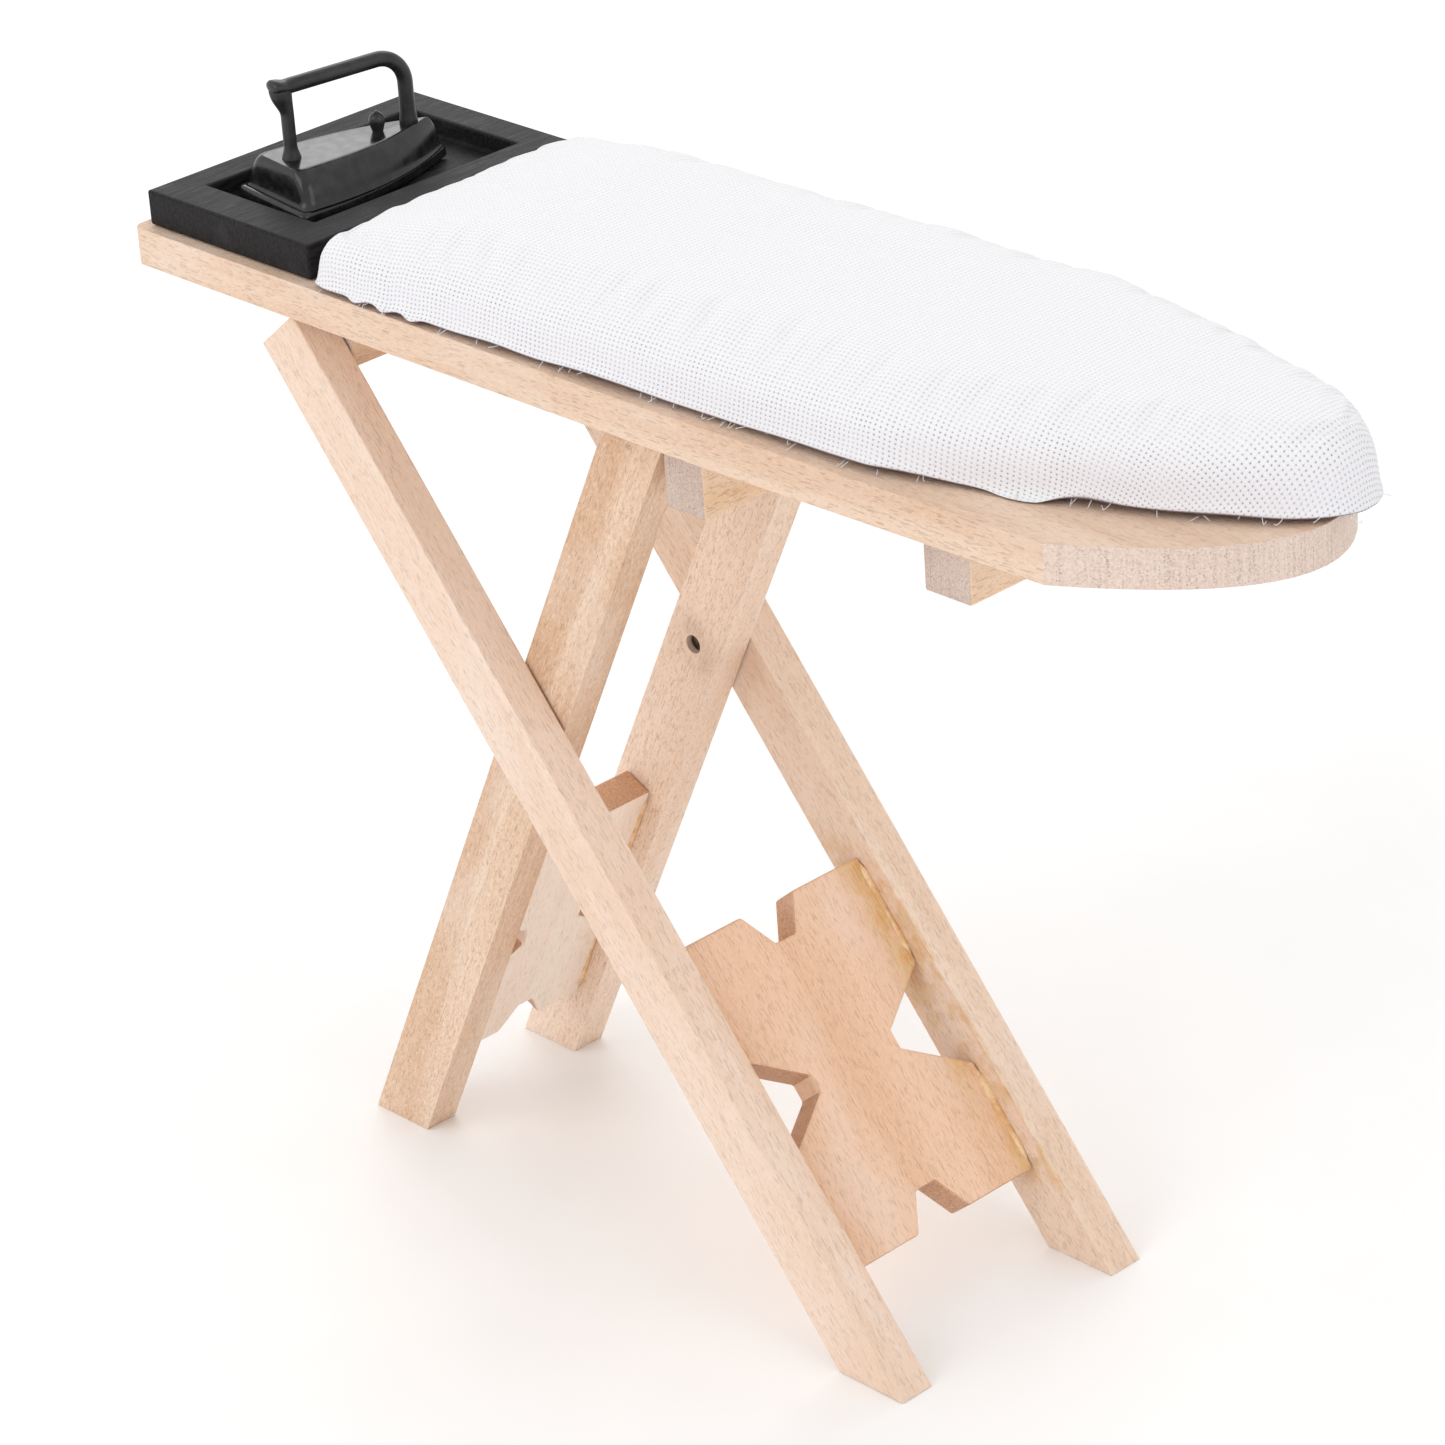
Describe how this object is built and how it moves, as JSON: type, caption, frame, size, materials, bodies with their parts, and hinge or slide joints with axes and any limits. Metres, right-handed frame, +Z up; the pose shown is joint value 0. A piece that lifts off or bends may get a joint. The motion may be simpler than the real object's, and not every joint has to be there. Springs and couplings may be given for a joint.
{
  "type": "ironing board",
  "caption": "Miniature folding ironing board: padded top, iron tray at the square end, flat iron, and two crossed leg frames.",
  "frame": {"origin": "centre of the overall box, at the floor under the feet", "axes": "+X along the board towards its nose, +Y across it away from the near side, +Z up"},
  "size_m": [0.1075, 0.0303, 0.0852],
  "materials": {
    "board": "bare beech, lightly sanded",
    "pad_cover": "white open plain weave, edge turned under",
    "pad_core": "cotton wadding",
    "iron_tray": "brushed matt black paint over wood",
    "hinge_rail": "bare beech",
    "stop_batten_fold": "bare beech",
    "stop_batten_nose": "bare beech",
    "hinge_pin_near": "plain wire nail",
    "hinge_pin_far": "plain wire nail",
    "outer_leg_near": "bare beech",
    "outer_leg_far": "bare beech",
    "outer_panel": "bare beech with glue smears at its long edges",
    "inner_leg_near": "bare beech",
    "inner_leg_far": "bare beech",
    "inner_panel": "bare beech",
    "pivot_pin_near": "headed pin, dull",
    "pivot_pin_far": "headed pin, dull",
    "iron_sole": "gloss black enamel on cast metal",
    "iron_hood": "gloss black enamel on cast metal",
    "iron_handle": "gloss black enamel on cast metal",
    "iron_knob": "gloss black enamel on cast metal"
  },
  "bodies": {
    "board": {"board": "board", "iron_tray": "iron_tray", "pad_cover": "pad_cover", "pad_core": "pad_core", "hinge_rail": "hinge_rail", "stop_batten_fold": "stop_batten_fold", "stop_batten_nose": "stop_batten_nose", "hinge_pin_near": "hinge_pin_near", "hinge_pin_far": "hinge_pin_far"},
    "outer_legs": {"outer_leg_near": "outer_leg_near", "outer_leg_far": "outer_leg_far", "outer_panel": "outer_panel"},
    "inner_legs": {"inner_leg_near": "inner_leg_near", "inner_leg_far": "inner_leg_far", "inner_panel": "inner_panel", "pivot_pin_near": "pivot_pin_near", "pivot_pin_far": "pivot_pin_far"},
    "iron": {"iron_sole": "iron_sole", "iron_hood": "iron_hood", "iron_handle": "iron_handle", "iron_knob": "iron_knob"}
  },
  "joints": [
    {"name": "outer_leg_fold", "type": "hinge", "parent": "board", "child": "outer_legs", "pos_m": [-0.03701, -0.00228, 0.0668], "axis": [0, 1, 0], "range_deg": [0, 31.5]},
    {"name": "inner_leg_fold", "type": "hinge", "parent": "outer_legs", "child": "inner_legs", "pos_m": [-0.01665, -0.00228, 0.04211], "axis": [0, 1, 0], "range_deg": [-52, 0]},
    {"name": "iron_lift", "type": "slide", "parent": "board", "child": "iron", "axis": [0, 0, 1], "range_m": [0, 0.03]}
  ],
  "couplings": [
    {"joint": "inner_leg_fold", "follows": "outer_leg_fold", "ratio": -1.65}
  ]
}
